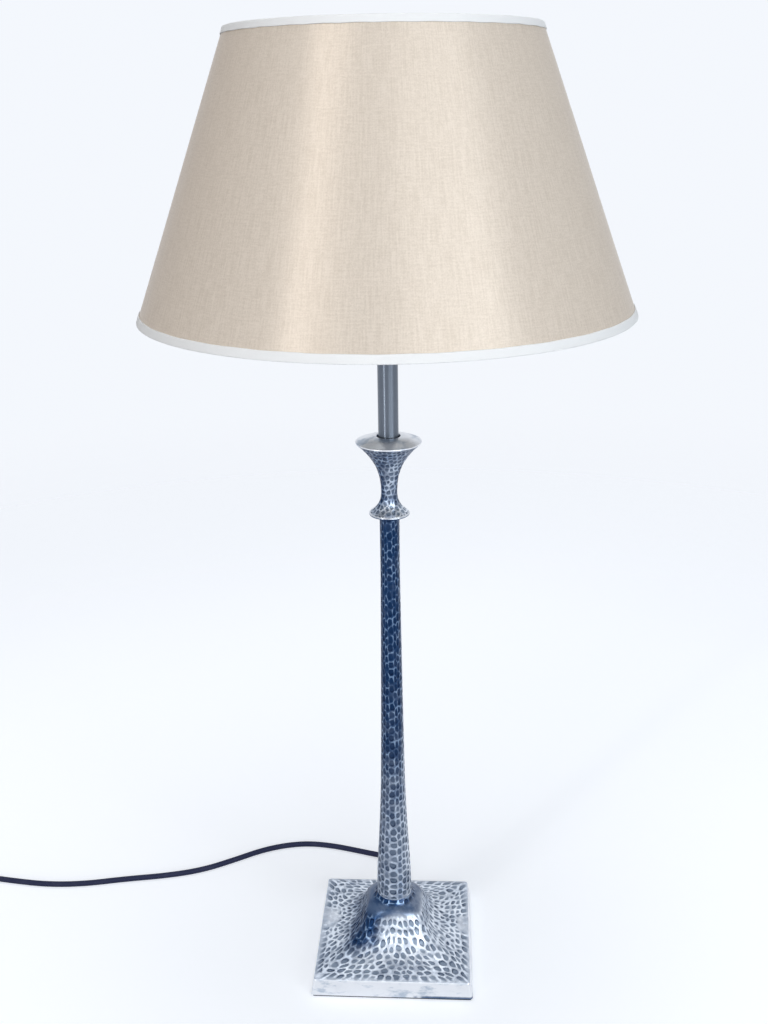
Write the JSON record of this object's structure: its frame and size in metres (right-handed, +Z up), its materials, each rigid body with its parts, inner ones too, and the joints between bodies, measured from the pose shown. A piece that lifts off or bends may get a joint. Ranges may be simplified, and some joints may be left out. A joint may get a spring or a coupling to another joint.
{
  "type": "candlestick table lamp",
  "caption": "Candlestick table lamp with a hammered cast stand on a square foot, a tube in the candle's place and a tapered fabric shade.",
  "frame": {"origin": "on the table, under the middle of the square foot", "axes": "+Z up along the column, -Y to the front, the lead leaves at +Y and lies towards -X"},
  "size_m": [0.7621, 0.4058, 0.8601],
  "materials": {
    "hammered_pewter": "hammered cast metal, dark in the dimples and bright on the ridges",
    "brushed_tube": "brushed",
    "zinc_steel": "zinc plated",
    "iron_weight": "as cast",
    "dark_felt": "felt",
    "holder_plastic": "satin moulded",
    "brass": "plain",
    "cap_metal": "rolled sheet",
    "opal_glass": "frosted white inside",
    "white_wire": "white powder coat",
    "shade_lining": "satin sheet",
    "champagne_silk": "satin weave with a soft sheen",
    "white_tape": "woven tape",
    "lead_black": "smooth sheath",
    "plug_black": "moulded",
    "pin_nickel": "nickel plated"
  },
  "bodies": {
    "stand": {"felt_pad": "dark_felt", "foot_casting": "hammered_pewter", "foot_weight": "iron_weight", "cord_clamp": "zinc_steel", "clamp_screws": "zinc_steel", "cord_sleeve": "plug_black", "inner_cord": "lead_black", "clamp_washer": "zinc_steel", "clamp_nut": "zinc_steel", "tie_rod": "zinc_steel", "column": "hammered_pewter", "candle_cup": "hammered_pewter", "tube_bush": "holder_plastic", "candle_tube": "brushed_tube", "tube_cap": "brushed_tube", "lock_nut": "zinc_steel", "holder_cap": "holder_plastic", "holder_body": "holder_plastic", "holder_sleeve": "brass", "centre_contact": "brass", "cord_run": "lead_black", "cord_coil": "lead_black", "cord_tail": "lead_black", "plug_body": "plug_black", "plug_pins": "pin_nickel"},
    "switch": {"switch_bar": "holder_plastic"},
    "shade_ring": {"shade_ring": "holder_plastic"},
    "bulb": {"bulb_cap": "cap_metal", "bulb_glass": "opal_glass"},
    "shade": {"fitter_ring": "white_wire", "fitter_arms": "white_wire", "shade_top_wire": "white_wire", "shade_bottom_wire": "white_wire", "shade_liner": "shade_lining", "shade_fabric": "champagne_silk", "trim_top": "white_tape", "trim_bottom": "white_tape"}
  },
  "joints": [
    {"name": "switch_slide", "type": "slide", "parent": "stand", "child": "switch", "axis": [-1, 0, 0], "range_m": [0, 0.006]},
    {"name": "shade_turn", "type": "hinge", "parent": "stand", "child": "shade", "pos_m": [0, 0, 0.742], "axis": [0, 0, 1], "continuous": true},
    {"name": "ring_turn", "type": "hinge", "parent": "stand", "child": "shade_ring", "pos_m": [0, 0, 0.747], "axis": [0, 0, 1], "range_deg": [0, 1080]},
    {"name": "bulb_turn", "type": "hinge", "parent": "stand", "child": "bulb", "pos_m": [0, 0, 0.75], "axis": [0, 0, 1], "range_deg": [0, 1080]}
  ]
}
